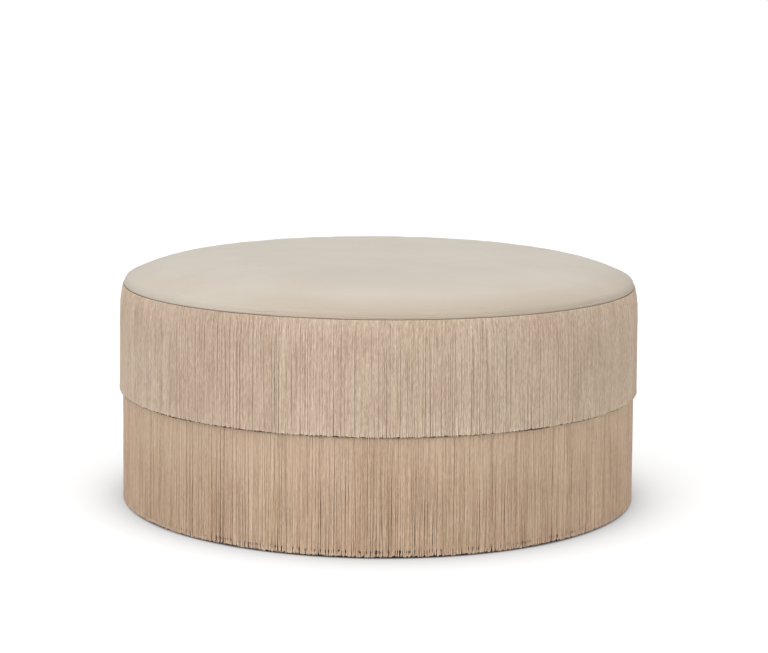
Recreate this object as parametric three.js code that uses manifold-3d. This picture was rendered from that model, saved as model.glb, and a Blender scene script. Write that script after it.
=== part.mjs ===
// Round upholstered tuffet: a crowned velvet seat over a drum with two tiers of hanging fringe.
// Millimetres, +Z up. The floor is z = 0 and the tuffet's axis is the Z axis.

import * as THREE from 'three';
import { mergeGeometries, mergeVertices } from 'three/addons/utils/BufferGeometryUtils.js';
import Module from 'manifold-3d';

// Driving dimensions
const DIAMETER = 1000;          // across the upper tier of fringe at its hem
const SEAM_HEIGHT = 415;        // floor to the seam under the seat
const SEAM_RADIUS = 489.5;      // velvet at the seam
const CROWN = 53.5;             // rise of the seat from the seam to its middle
const UPPER_HEM = 214;          // floor to the hem of the upper tier
const LOWER_HEM = 5;            // floor to the hem of the lower tier
const PLINTH_TOP = 95;          // floor to the underside of the drum
const FIT_GAP = 0.3;            // between pieces that touch

// Seat
const VELVET = 1.6;             // thickness of the cover
const SEAM_ROLL = 2.5;          // how far the velvet rolls out over the header
const SEAM_TUCK = 12;           // cover turned down behind the header
const WADDING = 6;              // thickness of the fibre layer
const ROLL_WIDTH = 9;           // roll at the seat's edge, inwards from the seam
const ROLL_HEIGHT = 15;         // roll at the seat's edge, up from the seam
const ROLL_STEPS = 3;           // chords round the roll
const DOME_STEPS = 6;           // chords from the roll to the seat's middle
const DOME_SPACING = 1.5;       // over 1, so the chords are shortest by the roll
const DOME_POWER = 6;           // the higher, the flatter the seat's middle

// Drum
const BOARD = 15;               // plywood discs
const DISC_RADIUS = 474;        // top deck and drum floor
const DECK_TOP = 385;           // floor to the top of the deck
const SKIN = 5;                 // bent board round the ribs
const PADDING = 5.5;            // foam wrap on the skin
const SIDE_CLOTH = 1.2;         // thickness of the side cover
const COVER_LIP = 10;           // side cover turned in under the drum
const RIB_DEPTH = 48;           // along the radius
const RIB_WIDTH = 30;
const HOOP_HEIGHT = 34;
const HOOP_THICKNESS = 5;
const HOOP_MIDDLE = 242;        // floor to the middle of the hoop, behind the lower header

// Plinth and feet
const PLINTH_RADIUS = 469;      // base board; the plinth stands a little in from the drum
const PLINTH_SKIN = 5;
const PLINTH_CLOTH = 1;
const PLINTH_LIP = 8;           // plinth cover turned in under the base board
const BLOCK_SIZE = 60;
const DUST_CLOTH = 0.8;
const STATIONS = 6;             // feet, blocks and ribs stand in line at six places
const FOOT_CIRCLE = 430;        // radius of the circle of feet
const GLIDE_HEIGHT = 14;
const GLIDE_SOLE = 21;          // radius on the floor
const GLIDE_TOP = 25;           // radius under the base
const GLIDE_RIM = 2;            // upright rim above the taper
const GLIDE_RECESS = 6;         // depth of the screw's counterbore
const GLIDE_RECESS_RADIUS = 6.5;
const GLIDE_BORE = 2.8;

// Screws
const SCREW_SHANK = 2.2;        // radius
const SCREW_HEAD = 5.2;         // radius
const PAN_HEAD = 3.5;           // height of a pan head
const PAN_BEVEL = 1;            // round the rim of a pan head
const CONE_HEAD = 3.4;          // height of a countersunk head
const SCREW_POINT = 4;          // length of a foot screw's point
const FOOT_SCREW_LENGTH = 55;
const RIB_SCREW_LENGTH = 60;
const RIB_SCREW_CIRCLE = 462;   // radius of the circle of screws that hold the ribs

// Fringe
const UPPER_BULGE = 375;        // floor to where the upper locks have swelled out
const UPPER_BULGE_RADIUS = 497.4;
const LOWER_BULGE_RADIUS = 494; // lower tier, where the upper hem covers it
const LOWER_HEM_RADIUS = 497.4;
const HEM_COVER = 4;            // how far the upper hem hides the lower locks' bulge
const STRANDS = 200;            // locks of cord in each tier
const STRAND_WIDTH = 14;
const STRAND_DEPTH = 4.4;       // where a lock hangs free
const STRAND_ROOT = 1.8;        // depth of a lock where the header holds it
const STRAND_LEAN = 0.6;        // how far a lock's foot wanders to either side
const STRAND_RAGGED = 2;        // how far a hem end rises or falls
const SCATTER = { step: 12.9898, salt: 78.233, spread: 43758.5453 };
const HEADER_HEIGHT = 6;
const HEADER_THICKNESS = 3;
const SEAM_TAPE_HEIGHT = 2.2;   // dark tape in the groove under the velvet
const SEAM_TAPE_THICKNESS = 1.4;

const ROUND_STEPS = 48;         // facets round the drum
const SEAT_STEPS = 24;          // facets round the layers hidden in the seat
const GLIDE_STEPS = 12;
const SCREW_STEPS = 6;
const CUT_OVERRUN = 5;          // a cutting shape runs this far past the face it opens

// Radii from the drum outwards
const SKIN_IN = DISC_RADIUS + FIT_GAP;
const SKIN_OUT = SKIN_IN + SKIN;
const PADDING_IN = SKIN_OUT + FIT_GAP;
const PADDING_OUT = PADDING_IN + PADDING;
const CLOTH_IN = PADDING_OUT + FIT_GAP;
const CLOTH_OUT = CLOTH_IN + SIDE_CLOTH;
const HEADER_IN = SEAM_RADIUS - SEAM_ROLL + FIT_GAP;
const HEADER_OUT = HEADER_IN + HEADER_THICKNESS;

// Heights from the floor up
const DUST_LOW = GLIDE_HEIGHT + FIT_GAP;
const BASE_LOW = DUST_LOW + DUST_CLOTH + FIT_GAP;
const BASE_HIGH = BASE_LOW + BOARD;
const FLOOR_HIGH = PLINTH_TOP + BOARD;
const DECK_LOW = DECK_TOP - BOARD;
const TUCK_LOW = SEAM_HEIGHT - SEAM_TUCK;
const UPPER_HEADER_TOP = SEAM_HEIGHT - SEAM_TAPE_HEIGHT - 2 * FIT_GAP;
const LOWER_HEADER_TOP = HOOP_MIDDLE + HEADER_HEIGHT / 2;

const ROOT_RADIUS = (HEADER_IN + HEADER_OUT + STRAND_ROOT) / 2 - FIT_GAP;

// Each tier's outer line: at the hem, where the locks bulge out, and under the header
const UPPER_TIER = {
  heights: [UPPER_HEM, UPPER_BULGE, UPPER_HEADER_TOP - HEADER_HEIGHT],
  radii: [DIAMETER / 2, UPPER_BULGE_RADIUS, ROOT_RADIUS],
  depths: [STRAND_DEPTH, STRAND_DEPTH, STRAND_ROOT],
};
const LOWER_TIER = {
  heights: [LOWER_HEM, UPPER_HEM - HEM_COVER, LOWER_HEADER_TOP - HEADER_HEIGHT],
  radii: [LOWER_HEM_RADIUS, LOWER_BULGE_RADIUS, ROOT_RADIUS],
  depths: [STRAND_DEPTH, STRAND_DEPTH, STRAND_ROOT],
};

const wasm = await Module();
wasm.setup();

// Joins equal points and drops the flat triangles that a turned profile leaves on its axis
function weld(geometry) {
  const bare = geometry.clone();
  bare.deleteAttribute('normal');
  bare.deleteAttribute('uv');
  const merged = mergeVertices(bare);
  const index = merged.index.array;
  const kept = [];
  for (let i = 0; i < index.length; i += 3) {
    const [a, b, c] = [index[i], index[i + 1], index[i + 2]];
    if (a !== b && b !== c && c !== a) kept.push(a, b, c);
  }
  merged.setIndex(kept);
  return merged;
}

function toSolid(geometry) {
  const merged = weld(geometry);
  const vertProperties = new Float32Array(merged.attributes.position.array);
  const triVerts = new Uint32Array(merged.index.array);
  return new wasm.Manifold(new wasm.Mesh({ numProp: 3, vertProperties, triVerts }));
}

function toGeometry(solid) {
  const { vertProperties, triVerts } = solid.getMesh();
  const geometry = new THREE.BufferGeometry();
  geometry.setAttribute('position', new THREE.Float32BufferAttribute(vertProperties, 3));
  geometry.setIndex(Array.from(triVerts));
  geometry.computeVertexNormals();
  return geometry;
}

// Turns a profile of [radius, height] points about the Z axis
function turned(profile, steps = ROUND_STEPS) {
  const points = profile.map(([radius, height]) => new THREE.Vector2(radius, height));
  const geometry = new THREE.LatheGeometry(points, steps);
  return weld(geometry.rotateX(Math.PI / 2));
}

function turnedRing(profile, steps = ROUND_STEPS) {
  return turned([...profile, profile[0]], steps);
}

function disc(radius, low, high, steps = ROUND_STEPS) {
  return turned([[0, low], [radius, low], [radius, high], [0, high]], steps);
}

function band(inner, outer, low, high) {
  return turnedRing([[inner, low], [outer, low], [outer, high], [inner, high]]);
}

// The shape that clears a screw, to be cut at every station of a board
function cutAtStations(board, tool, radius) {
  let solid = toSolid(board);
  for (let station = 0; station < STATIONS; station += 1) {
    const placed = tool.clone().translate(radius, 0, 0);
    placed.rotateZ((station * 2 * Math.PI) / STATIONS);
    solid = solid.subtract(toSolid(placed));
  }
  return toGeometry(solid);
}

// Seat

// Half outline of the seat's crown, from the seam in to the axis: a nearly upright roll, then a
// flat dome
function crownLine(radius, rise) {
  const line = [];
  const shoulder = radius - ROLL_WIDTH;
  for (let step = 0; step < ROLL_STEPS; step += 1) {
    const turn = (Math.PI / 2) * (step / ROLL_STEPS);
    const outward = shoulder + ROLL_WIDTH * Math.cos(turn);
    line.push([outward, SEAM_HEIGHT + ROLL_HEIGHT * Math.sin(turn)]);
  }
  for (let step = 0; step <= DOME_STEPS; step += 1) {
    const across = 1 - (step / DOME_STEPS) ** DOME_SPACING;
    const dome = (rise - ROLL_HEIGHT) * (1 - across ** DOME_POWER);
    line.push([shoulder * across, SEAM_HEIGHT + ROLL_HEIGHT + dome]);
  }
  return line;
}

function topCover() {
  const tuckOut = SEAM_RADIUS - SEAM_ROLL;
  const tuckIn = tuckOut - VELVET;
  const outside = crownLine(SEAM_RADIUS, CROWN);
  const inside = crownLine(tuckIn, CROWN - VELVET).reverse();
  return turned([...inside, [tuckIn, TUCK_LOW], [tuckOut, TUCK_LOW], [tuckOut, SEAM_HEIGHT], ...outside]);
}

function seatWadding() {
  const out = SEAM_RADIUS - SEAM_ROLL - VELVET - FIT_GAP;
  const outside = crownLine(out, CROWN - VELVET - FIT_GAP);
  const inside = crownLine(out - WADDING, CROWN - VELVET - FIT_GAP - WADDING).reverse();
  return turned([...inside, [out - WADDING, TUCK_LOW], [out, TUCK_LOW], ...outside], SEAT_STEPS);
}

function seatFoam() {
  const out = SEAM_RADIUS - SEAM_ROLL - VELVET - WADDING - 2 * FIT_GAP;
  const rise = CROWN - VELVET - WADDING - 2 * FIT_GAP;
  const low = DECK_TOP + FIT_GAP;
  return turned([[0, low], [out, low], ...crownLine(out, rise)], SEAT_STEPS);
}

// Drum

function ribScrew(headDown) {
  const screw = turned([
    [0, 0],
    [SCREW_HEAD, 0],
    [SCREW_SHANK, CONE_HEAD],
    [SCREW_SHANK, RIB_SCREW_LENGTH - SCREW_SHANK],
    [0, RIB_SCREW_LENGTH],
  ], SCREW_STEPS);
  return headDown ? screw : screw.rotateX(Math.PI);
}

function ribScrewHole(headDown) {
  const hole = turned([
    [0, -CUT_OVERRUN],
    [SCREW_HEAD + FIT_GAP, -CUT_OVERRUN],
    [SCREW_HEAD + FIT_GAP, 0],
    [SCREW_SHANK + FIT_GAP, CONE_HEAD + FIT_GAP],
    [SCREW_SHANK + FIT_GAP, RIB_SCREW_LENGTH + FIT_GAP],
    [0, RIB_SCREW_LENGTH + FIT_GAP],
  ], SCREW_STEPS);
  return headDown ? hole : hole.rotateX(Math.PI);
}

function topDeck() {
  const tool = ribScrewHole(false).translate(0, 0, DECK_TOP - FIT_GAP);
  return cutAtStations(disc(DISC_RADIUS, DECK_LOW, DECK_TOP), tool, RIB_SCREW_CIRCLE);
}

function drumFloor() {
  const tool = ribScrewHole(true).translate(0, 0, PLINTH_TOP + FIT_GAP);
  return cutAtStations(disc(DISC_RADIUS, PLINTH_TOP, FLOOR_HIGH), tool, RIB_SCREW_CIRCLE);
}

// A post with a housing for the hoop in its outer edge, and a pilot hole in each end
function rib() {
  const low = FLOOR_HIGH + FIT_GAP;
  const high = DECK_LOW - FIT_GAP;
  const out = DISC_RADIUS * Math.cos(Math.PI / ROUND_STEPS) - FIT_GAP;
  const housing = out - HOOP_THICKNESS - FIT_GAP;
  const notchLow = HOOP_MIDDLE - HOOP_HEIGHT / 2 - FIT_GAP;
  const notchHigh = HOOP_MIDDLE + HOOP_HEIGHT / 2 + FIT_GAP;
  const outline = new THREE.Shape([
    [out - RIB_DEPTH, low], [out, low], [out, notchLow], [housing, notchLow],
    [housing, notchHigh], [out, notchHigh], [out, high], [out - RIB_DEPTH, high],
  ].map(([x, z]) => new THREE.Vector2(x, z)));
  const post = new THREE.ExtrudeGeometry(outline, { depth: RIB_WIDTH, bevelEnabled: false });
  post.rotateX(Math.PI / 2).translate(0, RIB_WIDTH / 2, 0);
  const upper = ribScrewHole(false).translate(RIB_SCREW_CIRCLE, 0, DECK_TOP - FIT_GAP);
  const lower = ribScrewHole(true).translate(RIB_SCREW_CIRCLE, 0, PLINTH_TOP + FIT_GAP);
  return toGeometry(toSolid(post).subtract(toSolid(upper)).subtract(toSolid(lower)));
}

function tackHoop() {
  const out = DISC_RADIUS - FIT_GAP;
  const low = HOOP_MIDDLE - HOOP_HEIGHT / 2;
  return band(out - HOOP_THICKNESS, out, low, low + HOOP_HEIGHT);
}

// Half of the bent board; side is 1 for +Y and -1 for -Y, and the halves butt on two ribs
function sideSkin(side) {
  const whole = toSolid(band(SKIN_IN, SKIN_OUT, PLINTH_TOP, DECK_TOP));
  const half = new THREE.BoxGeometry(DIAMETER, DIAMETER, DIAMETER);
  half.translate(0, side * (DIAMETER / 2 + FIT_GAP / 2), DIAMETER / 2);
  return toGeometry(whole.intersect(toSolid(half)));
}

function sidePadding() {
  return band(PADDING_IN, PADDING_OUT, PLINTH_TOP, TUCK_LOW - FIT_GAP);
}

// A band of cloth, turned in under the drum at its lower edge
function sideCover() {
  const high = TUCK_LOW - FIT_GAP;
  const lipTop = PLINTH_TOP - FIT_GAP;
  const low = lipTop - SIDE_CLOTH;
  const lipIn = CLOTH_OUT - COVER_LIP;
  return turnedRing([
    [lipIn, low], [CLOTH_OUT, low], [CLOTH_OUT, high],
    [CLOTH_IN, high], [CLOTH_IN, lipTop], [lipIn, lipTop],
  ]);
}

function seamTape() {
  const low = UPPER_HEADER_TOP + FIT_GAP;
  return band(HEADER_IN, HEADER_IN + SEAM_TAPE_THICKNESS, low, low + SEAM_TAPE_HEIGHT);
}

// Fringe

// A repeatable number from -1 to 1 for each strand
function scatter(index, salt) {
  const wave = Math.sin(index * SCATTER.step + salt * SCATTER.salt) * SCATTER.spread;
  return 2 * (wave - Math.floor(wave)) - 1;
}

// One lock of a tier's cords, three-sided with its ridge outwards, bent to the tier's outer line
function strand(tier, index) {
  const section = new THREE.Shape([
    new THREE.Vector2(-1, -STRAND_WIDTH / 2),
    new THREE.Vector2(0, 0),
    new THREE.Vector2(-1, STRAND_WIDTH / 2),
  ]);
  const levels = tier.heights.length - 1;
  const geometry = new THREE.ExtrudeGeometry(section, { depth: levels, steps: levels, bevelEnabled: false });
  const middle = (index * 2 * Math.PI) / STRANDS;
  const lean = STRAND_LEAN * scatter(index, 1);
  const ragged = STRAND_RAGGED * scatter(index, 2);
  const position = geometry.attributes.position;
  for (let i = 0; i < position.count; i += 1) {
    const level = Math.round(position.getZ(i));
    const hang = 1 - level / levels;
    const radius = tier.radii[level] + position.getX(i) * tier.depths[level];
    const angle = middle + (position.getY(i) + lean * hang) / radius;
    const height = tier.heights[level] + (level === 0 ? ragged : 0);
    position.setXYZ(i, radius * Math.cos(angle), radius * Math.sin(angle), height);
  }
  return geometry;
}

// All the locks of a tier, fused to the woven header that carries them
function fringe(tier, headerTop) {
  const strands = Array.from({ length: STRANDS }, (_, index) => strand(tier, index));
  const header = band(HEADER_IN, HEADER_OUT, headerTop - HEADER_HEIGHT, headerTop);
  return toGeometry(toSolid(header).add(toSolid(mergeGeometries(strands))));
}

// Plinth and feet

function baseBoard() {
  const tool = disc(SCREW_SHANK + FIT_GAP, BASE_LOW - CUT_OVERRUN, BASE_HIGH + CUT_OVERRUN, SCREW_STEPS);
  return cutAtStations(disc(PLINTH_RADIUS, BASE_LOW, BASE_HIGH), tool, FOOT_CIRCLE);
}

function plinthWall() {
  const inner = PLINTH_RADIUS + FIT_GAP;
  return band(inner, inner + PLINTH_SKIN, BASE_LOW, PLINTH_TOP - FIT_GAP);
}

function plinthBlock() {
  const low = BASE_HIGH + FIT_GAP;
  const high = PLINTH_TOP - FIT_GAP;
  const block = new THREE.BoxGeometry(BLOCK_SIZE, BLOCK_SIZE, high - low);
  block.translate(0, 0, (low + high) / 2);
  const pilotTop = GLIDE_RECESS + FOOT_SCREW_LENGTH + FIT_GAP;
  const pilot = disc(SCREW_SHANK + FIT_GAP, low - CUT_OVERRUN, pilotTop, SCREW_STEPS);
  return toGeometry(toSolid(block).subtract(toSolid(pilot)));
}

// Cloth round the plinth, turned in under the base board
function plinthCover() {
  const inner = PLINTH_RADIUS + PLINTH_SKIN + 2 * FIT_GAP;
  const outer = inner + PLINTH_CLOTH;
  const high = PLINTH_TOP - FIT_GAP;
  const lipTop = BASE_LOW - FIT_GAP;
  return turnedRing([
    [outer - PLINTH_LIP, DUST_LOW], [outer, DUST_LOW], [outer, high],
    [inner, high], [inner, lipTop], [outer - PLINTH_LIP, lipTop],
  ]);
}

function dustCover() {
  const edge = PLINTH_RADIUS + PLINTH_SKIN + PLINTH_CLOTH - PLINTH_LIP;
  const high = DUST_LOW + DUST_CLOTH;
  const tool = disc(SCREW_SHANK + FIT_GAP, DUST_LOW - CUT_OVERRUN, high + CUT_OVERRUN, SCREW_STEPS);
  return cutAtStations(disc(edge, DUST_LOW, high), tool, FOOT_CIRCLE);
}

// A tapered foot with a counterbored hole for its screw
function glide() {
  return turnedRing([
    [GLIDE_RECESS_RADIUS, 0], [GLIDE_SOLE, 0],
    [GLIDE_TOP, GLIDE_HEIGHT - GLIDE_RIM], [GLIDE_TOP, GLIDE_HEIGHT],
    [GLIDE_BORE, GLIDE_HEIGHT], [GLIDE_BORE, GLIDE_RECESS], [GLIDE_RECESS_RADIUS, GLIDE_RECESS],
  ], GLIDE_STEPS);
}

function glideScrew() {
  const seat = GLIDE_RECESS - FIT_GAP;
  const crown = seat - PAN_HEAD;
  const tip = GLIDE_RECESS + FOOT_SCREW_LENGTH;
  return turned([
    [0, crown], [SCREW_HEAD - PAN_BEVEL, crown], [SCREW_HEAD, crown + PAN_BEVEL],
    [SCREW_HEAD, seat], [SCREW_SHANK, seat], [SCREW_SHANK, tip - SCREW_POINT], [0, tip],
  ], SCREW_STEPS);
}

// Materials

function material(color, roughness, metalness = 0) {
  return new THREE.MeshStandardMaterial({ color, roughness, metalness });
}

const velvet = () => material(0xd4cbbc, 0.8);
const cord = () => material(0xc9b097, 0.85);
const sideCloth = () => material(0xa98e75, 0.95);
const seamCloth = () => material(0x5f4c3a, 0.95);
const plinthCloth = () => material(0x75604b, 0.98);
const blackCloth = () => material(0x1c1b1a, 0.98);
const foam = () => material(0xe9dfae, 0.95);
const fibre = () => material(0xf2f0ea, 0.98);
const plywood = () => material(0xc79f6b, 0.7);
const timber = () => material(0xd2b182, 0.75);
const plastic = () => material(0x202020, 0.5);
const steel = () => material(0xb7b9bc, 0.35, 1);

// Assembly

const tuffet = new THREE.Group();

function place(parent, name, geometry, finish) {
  const mesh = new THREE.Mesh(geometry, finish);
  mesh.name = name;
  parent.add(mesh);
  return mesh;
}

place(tuffet, 'top_cover', topCover(), velvet());
place(tuffet, 'seat_wadding', seatWadding(), fibre());
place(tuffet, 'seat_foam', seatFoam(), foam());
place(tuffet, 'top_deck', topDeck(), plywood());
place(tuffet, 'drum_floor', drumFloor(), plywood());
place(tuffet, 'tack_hoop', tackHoop(), plywood());
place(tuffet, 'side_skin_left', sideSkin(-1), plywood());
place(tuffet, 'side_skin_right', sideSkin(1), plywood());
place(tuffet, 'side_padding', sidePadding(), foam());
place(tuffet, 'side_cover', sideCover(), sideCloth());
place(tuffet, 'seam_tape', seamTape(), seamCloth());
place(tuffet, 'upper_fringe', fringe(UPPER_TIER, UPPER_HEADER_TOP), cord());
place(tuffet, 'lower_fringe', fringe(LOWER_TIER, LOWER_HEADER_TOP), cord());
place(tuffet, 'base_board', baseBoard(), plywood());
place(tuffet, 'plinth_wall', plinthWall(), plywood());
place(tuffet, 'plinth_cover', plinthCover(), plinthCloth());
place(tuffet, 'dust_cover', dustCover(), blackCloth());

for (let station = 0; station < STATIONS; station += 1) {
  const leg = new THREE.Group();
  leg.rotation.z = (station * 2 * Math.PI) / STATIONS;
  tuffet.add(leg);
  const number = station + 1;
  place(leg, `glide_${number}`, glide(), plastic()).position.x = FOOT_CIRCLE;
  place(leg, `glide_screw_${number}`, glideScrew(), steel()).position.x = FOOT_CIRCLE;
  place(leg, `plinth_block_${number}`, plinthBlock(), timber()).position.x = FOOT_CIRCLE;
  place(leg, `rib_${number}`, rib(), timber());
  const upper = place(leg, `deck_screw_${number}`, ribScrew(false), steel());
  upper.position.set(RIB_SCREW_CIRCLE, 0, DECK_TOP - FIT_GAP);
  const lower = place(leg, `floor_screw_${number}`, ribScrew(true), steel());
  lower.position.set(RIB_SCREW_CIRCLE, 0, PLINTH_TOP + FIT_GAP);
}

export default tuffet;
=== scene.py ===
import math

import bpy
import numpy as np
from mathutils import Matrix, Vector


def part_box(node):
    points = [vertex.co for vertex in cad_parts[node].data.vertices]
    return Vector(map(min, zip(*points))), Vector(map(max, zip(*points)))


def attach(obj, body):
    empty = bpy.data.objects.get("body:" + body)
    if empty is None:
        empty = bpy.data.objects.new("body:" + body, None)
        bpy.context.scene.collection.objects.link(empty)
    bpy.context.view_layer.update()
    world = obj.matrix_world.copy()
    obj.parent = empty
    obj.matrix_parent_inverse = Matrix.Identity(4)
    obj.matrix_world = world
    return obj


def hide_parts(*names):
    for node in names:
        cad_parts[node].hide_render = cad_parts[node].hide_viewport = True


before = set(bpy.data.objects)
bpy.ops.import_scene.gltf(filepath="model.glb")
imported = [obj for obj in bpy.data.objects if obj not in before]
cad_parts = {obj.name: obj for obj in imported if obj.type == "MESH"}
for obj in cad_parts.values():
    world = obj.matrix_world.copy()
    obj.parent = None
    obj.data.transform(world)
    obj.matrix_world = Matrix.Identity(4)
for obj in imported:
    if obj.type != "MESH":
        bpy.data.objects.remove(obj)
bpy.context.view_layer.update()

# Wooden carcass: plywood base board, plinth wall, drum floor, deck, bent skins and tack hoop, with
# pine blocks and ribs between them. All of it is glued and screwed, and hidden when it is covered.


def seen_as(red, green, blue):
    """The shader's own value for a colour given as it looks, from 0 to 255."""
    shares = [level / 255 for level in (red, green, blue)]
    linear = [s / 12.92 if s <= 0.04045 else ((s + 0.055) / 1.055) ** 2.4 for s in shares]
    return (*linear, 1)


def new_finish(name, roughness):
    """A material and its shader, with the roughness that the whole surface has."""
    finish = bpy.data.materials.new(name)
    finish.use_nodes = True
    shader = finish.node_tree.nodes["Principled BSDF"]
    shader.inputs["Roughness"].default_value = roughness
    return finish, shader


def step(finish, kind, inputs, **settings):
    """One node of a finish. Each input is a value to set or the result of another step."""
    made = finish.node_tree.nodes.new(kind)
    for name, value in settings.items():
        setattr(made, name, value)
    for name, value in inputs.items():
        if isinstance(value, bpy.types.NodeSocket):
            finish.node_tree.links.new(value, made.inputs[name])
        else:
            made.inputs[name].default_value = value
    return made


def sum_of(finish, operation, *values):
    """One sum on numbers or results, such as MULTIPLY, SINE or MAXIMUM."""
    return step(finish, "ShaderNodeMath", dict(enumerate(values)), operation=operation).outputs[0]


def spread_to(finish, value, low, high, new_low=0, new_high=1):
    """Moves a result from one range to another, and holds it there."""
    ends = {"From Min": low, "From Max": high, "To Min": new_low, "To Max": new_high}
    return step(finish, "ShaderNodeMapRange", {"Value": value, **ends}).outputs[0]


def between(finish, share, first, second):
    """A colour between two, by a share from 0 to 1."""
    mix = step(finish, "ShaderNodeMix", {0: share, 6: first, 7: second}, data_type="RGBA")
    return mix.outputs[2]


def object_place(finish, scale=(1, 1, 1)):
    """Where a point lies on its piece, in metres, with each axis stretched by a scale."""
    place = step(finish, "ShaderNodeTexCoord", {}).outputs["Object"]
    return step(finish, "ShaderNodeMapping", {"Vector": place, "Scale": scale}).outputs[0]


def place_along(finish, axis):
    """Where a point lies along x, y or z, for an axis of 0, 1 or 2."""
    return step(finish, "ShaderNodeSeparateXYZ", {0: object_place(finish)}).outputs[axis]


def noise(finish, place, scale, detail=2):
    inputs = {"Vector": place, "Scale": scale, "Detail": detail}
    return step(finish, "ShaderNodeTexNoise", inputs).outputs[0]


def colour_with(finish, shader, colour):
    finish.node_tree.links.new(colour, shader.inputs["Base Color"])


def raise_with(finish, shader, height, depth):
    """Bumps the surface by a height from 0 to 1, at most depth metres deep."""
    bump = step(finish, "ShaderNodeBump", {"Height": height, "Distance": depth})
    finish.node_tree.links.new(bump.outputs[0], shader.inputs["Normal"])


def dress(piece, finish):
    """Gives a piece one finish and no other."""
    piece.data.materials.clear()
    piece.data.materials.append(finish)


def plywood_finish():
    """Birch faces with a long grain, and the plies' lines on the edges."""
    ply_thickness, grain_depth = 0.0013, 0.0004
    dark_face, pale_face = seen_as(183, 142, 93), seen_as(212, 176, 128)
    dark_ply, pale_ply = seen_as(150, 108, 66), seen_as(204, 165, 116)
    finish, shader = new_finish("birch_plywood", 0.6)
    grain = noise(finish, object_place(finish, (4, 70, 70)), 1, 6)
    face = between(finish, grain, dark_face, pale_face)
    turn = sum_of(finish, "MULTIPLY", place_along(finish, 2), math.pi / ply_thickness)
    ply_line = spread_to(finish, sum_of(finish, "SINE", turn), -0.2, 0.2)
    plies = between(finish, ply_line, dark_ply, pale_ply)
    normal = step(finish, "ShaderNodeNewGeometry", {}).outputs["Normal"]
    upright = sum_of(finish, "ABSOLUTE", step(finish, "ShaderNodeSeparateXYZ", {0: normal}).outputs[2])
    flat_face = spread_to(finish, upright, 0.4, 0.6)
    colour_with(finish, shader, between(finish, flat_face, plies, face))
    raise_with(finish, shader, grain, grain_depth)
    return finish


def pine_finish():
    """Planed pine with its rings drawn out along the post, and a few knots."""
    ring_depth = 0.0003
    dark_ring, pale_ring = seen_as(196, 160, 108), seen_as(224, 194, 146)
    knot_brown = seen_as(150, 104, 60)
    finish, shader = new_finish("planed_pine", 0.65)
    rings = noise(finish, object_place(finish, (160, 160, 5)), 1, 5)
    knots = spread_to(finish, noise(finish, object_place(finish), 14, 3), 0.62, 0.75, 0, 0.6)
    wood = between(finish, rings, dark_ring, pale_ring)
    colour_with(finish, shader, between(finish, knots, wood, knot_brown))
    raise_with(finish, shader, rings, ring_depth)
    return finish


stations = range(1, 7)
plywood = plywood_finish()
pine = pine_finish()
flat_boards = ["base_board", "drum_floor", "top_deck"]
bent_boards = ["plinth_wall", "tack_hoop", "side_skin_left", "side_skin_right"]
for board in flat_boards + bent_boards:
    dress(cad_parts[board], plywood)
for station in stations:
    dress(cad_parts[f"rib_{station}"], pine)
    dress(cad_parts[f"plinth_block_{station}"], pine)

# Screws: zinc-plated steel, countersunk through the deck and the drum floor into the ribs, and
# pan-headed up through each foot into its block.


def steel_finish():
    """Bright zinc plate with a fine wear."""
    wear_depth = 0.00005
    dull_zinc, bright_zinc = seen_as(170, 172, 176), seen_as(205, 206, 208)
    finish, shader = new_finish("zinc_plated_steel", 0.34)
    shader.inputs["Metallic"].default_value = 1
    wear = noise(finish, object_place(finish), 900, 3)
    colour_with(finish, shader, between(finish, wear, dull_zinc, bright_zinc))
    raise_with(finish, shader, wear, wear_depth)
    return finish


steel = steel_finish()
for station in stations:
    for screw in ("deck_screw", "floor_screw", "glide_screw"):
        dress(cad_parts[f"{screw}_{station}"], steel)

# Feet: six moulded plastic glides under the base board, tapered to the sole and counterbored for
# the screw that holds each one.


def select_by(piece, mode, wanted):
    """Selects a piece's points, edges or faces by a test of their place, with edit mode open after."""
    bpy.ops.object.mode_set(mode="EDIT")
    bpy.ops.mesh.select_mode(type=mode)
    bpy.ops.mesh.select_all(action="DESELECT")
    bpy.ops.object.mode_set(mode="OBJECT")
    mesh = piece.data
    parts = {"VERT": mesh.vertices, "EDGE": mesh.edges, "FACE": mesh.polygons}[mode]
    for part in parts:
        part.select = wanted(part)
    bpy.ops.object.mode_set(mode="EDIT")


def settle(piece, name, angle=40):
    """Leaves edit mode with the piece named, at the origin, and smooth but for its sharp edges."""
    if bpy.context.mode != "OBJECT":
        bpy.ops.object.mode_set(mode="OBJECT")
    bpy.ops.object.select_all(action="DESELECT")
    piece.select_set(True)
    bpy.context.view_layer.objects.active = piece
    bpy.ops.object.transform_apply(location=True, rotation=True, scale=True)
    bpy.ops.object.shade_smooth_by_angle(angle=math.radians(angle))
    piece.name = name
    piece.data.name = name
    return piece


def copied(piece, name, place):
    """A copy with its own mesh, moved by a matrix."""
    copy = piece.copy()
    copy.data = piece.data.copy()
    copy.data.transform(place)
    copy.name = name
    copy.data.name = name
    bpy.context.scene.collection.objects.link(copy)
    return copy


def applied(piece, kind, **settings):
    """Adds a modifier with these settings and applies it."""
    bpy.ops.object.select_all(action="DESELECT")
    piece.select_set(True)
    bpy.context.view_layer.objects.active = piece
    modifier = piece.modifiers.new(kind, kind)
    for name, value in settings.items():
        setattr(modifier, name, value)
    bpy.ops.object.modifier_apply(modifier=modifier.name)


def bore_edge(mesh, edge, radius, near):
    """Whether an edge runs round the bore, at either of its ends."""
    ends = [mesh.vertices[index].co for index in edge.vertices]
    level = abs(ends[0].z - ends[1].z) < near
    return level and all(math.hypot(end.x, end.y) < radius + 2 * near for end in ends)


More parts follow.
